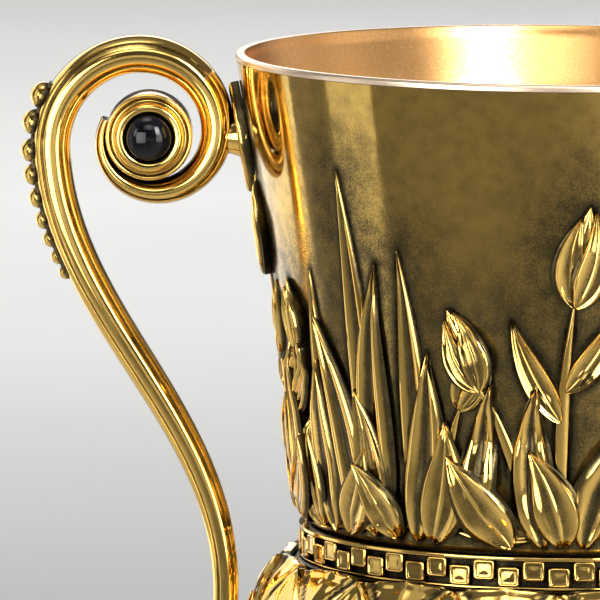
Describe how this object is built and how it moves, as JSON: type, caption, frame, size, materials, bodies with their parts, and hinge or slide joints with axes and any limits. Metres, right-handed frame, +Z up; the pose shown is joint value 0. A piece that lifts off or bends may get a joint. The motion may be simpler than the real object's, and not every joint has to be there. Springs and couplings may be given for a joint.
{
  "type": "goblet",
  "caption": "Gilded goblet with a tapered bowl in a leaf calyx, a lobed knop, a domed foot, a satin liner and two scroll handles set with dark stones.",
  "frame": {"origin": "centre of the foot's underside, on the surface it stands on", "axes": "+Z up along the bowl's axis, +X towards the right handle, the front looks towards -Y"},
  "size_m": [0.1528, 0.092, 0.192],
  "materials": {
    "polished_gold": "mirror-polished gold plate with dark patina in the recesses of the relief",
    "satin_gold": "fine-grained satin rose gold, spun",
    "black_stone": "polished black cabochon",
    "steel": "plain steel",
    "felt": "dark green felt"
  },
  "bodies": {
    "root": {"felt_pad": "felt", "base_plate": "steel", "foot": "polished_gold", "stem_trumpet": "polished_gold", "knop_ring_lower": "polished_gold", "knop": "polished_gold", "knop_ring_upper": "polished_gold", "stem_neck": "polished_gold", "calyx": "polished_gold", "billet_collar": "polished_gold", "bowl_shell": "polished_gold", "bowl_liner": "satin_gold", "tie_rod": "steel", "tie_rod_lower_washer": "steel", "tie_rod_lower_nut": "steel", "tie_rod_upper_washer": "steel", "tie_rod_upper_nut": "steel", "left_handle": "polished_gold", "left_handle_beading": "polished_gold", "left_front_collet": "polished_gold", "left_front_stone": "black_stone", "left_back_collet": "polished_gold", "left_back_stone": "black_stone", "left_upper_screw": "steel", "left_lower_washer": "steel", "left_lower_screw": "steel", "right_handle": "polished_gold", "right_handle_beading": "polished_gold", "right_front_collet": "polished_gold", "right_front_stone": "black_stone", "right_back_collet": "polished_gold", "right_back_stone": "black_stone", "right_upper_screw": "steel", "right_lower_washer": "steel", "right_lower_screw": "steel"}
  },
  "joints": []
}
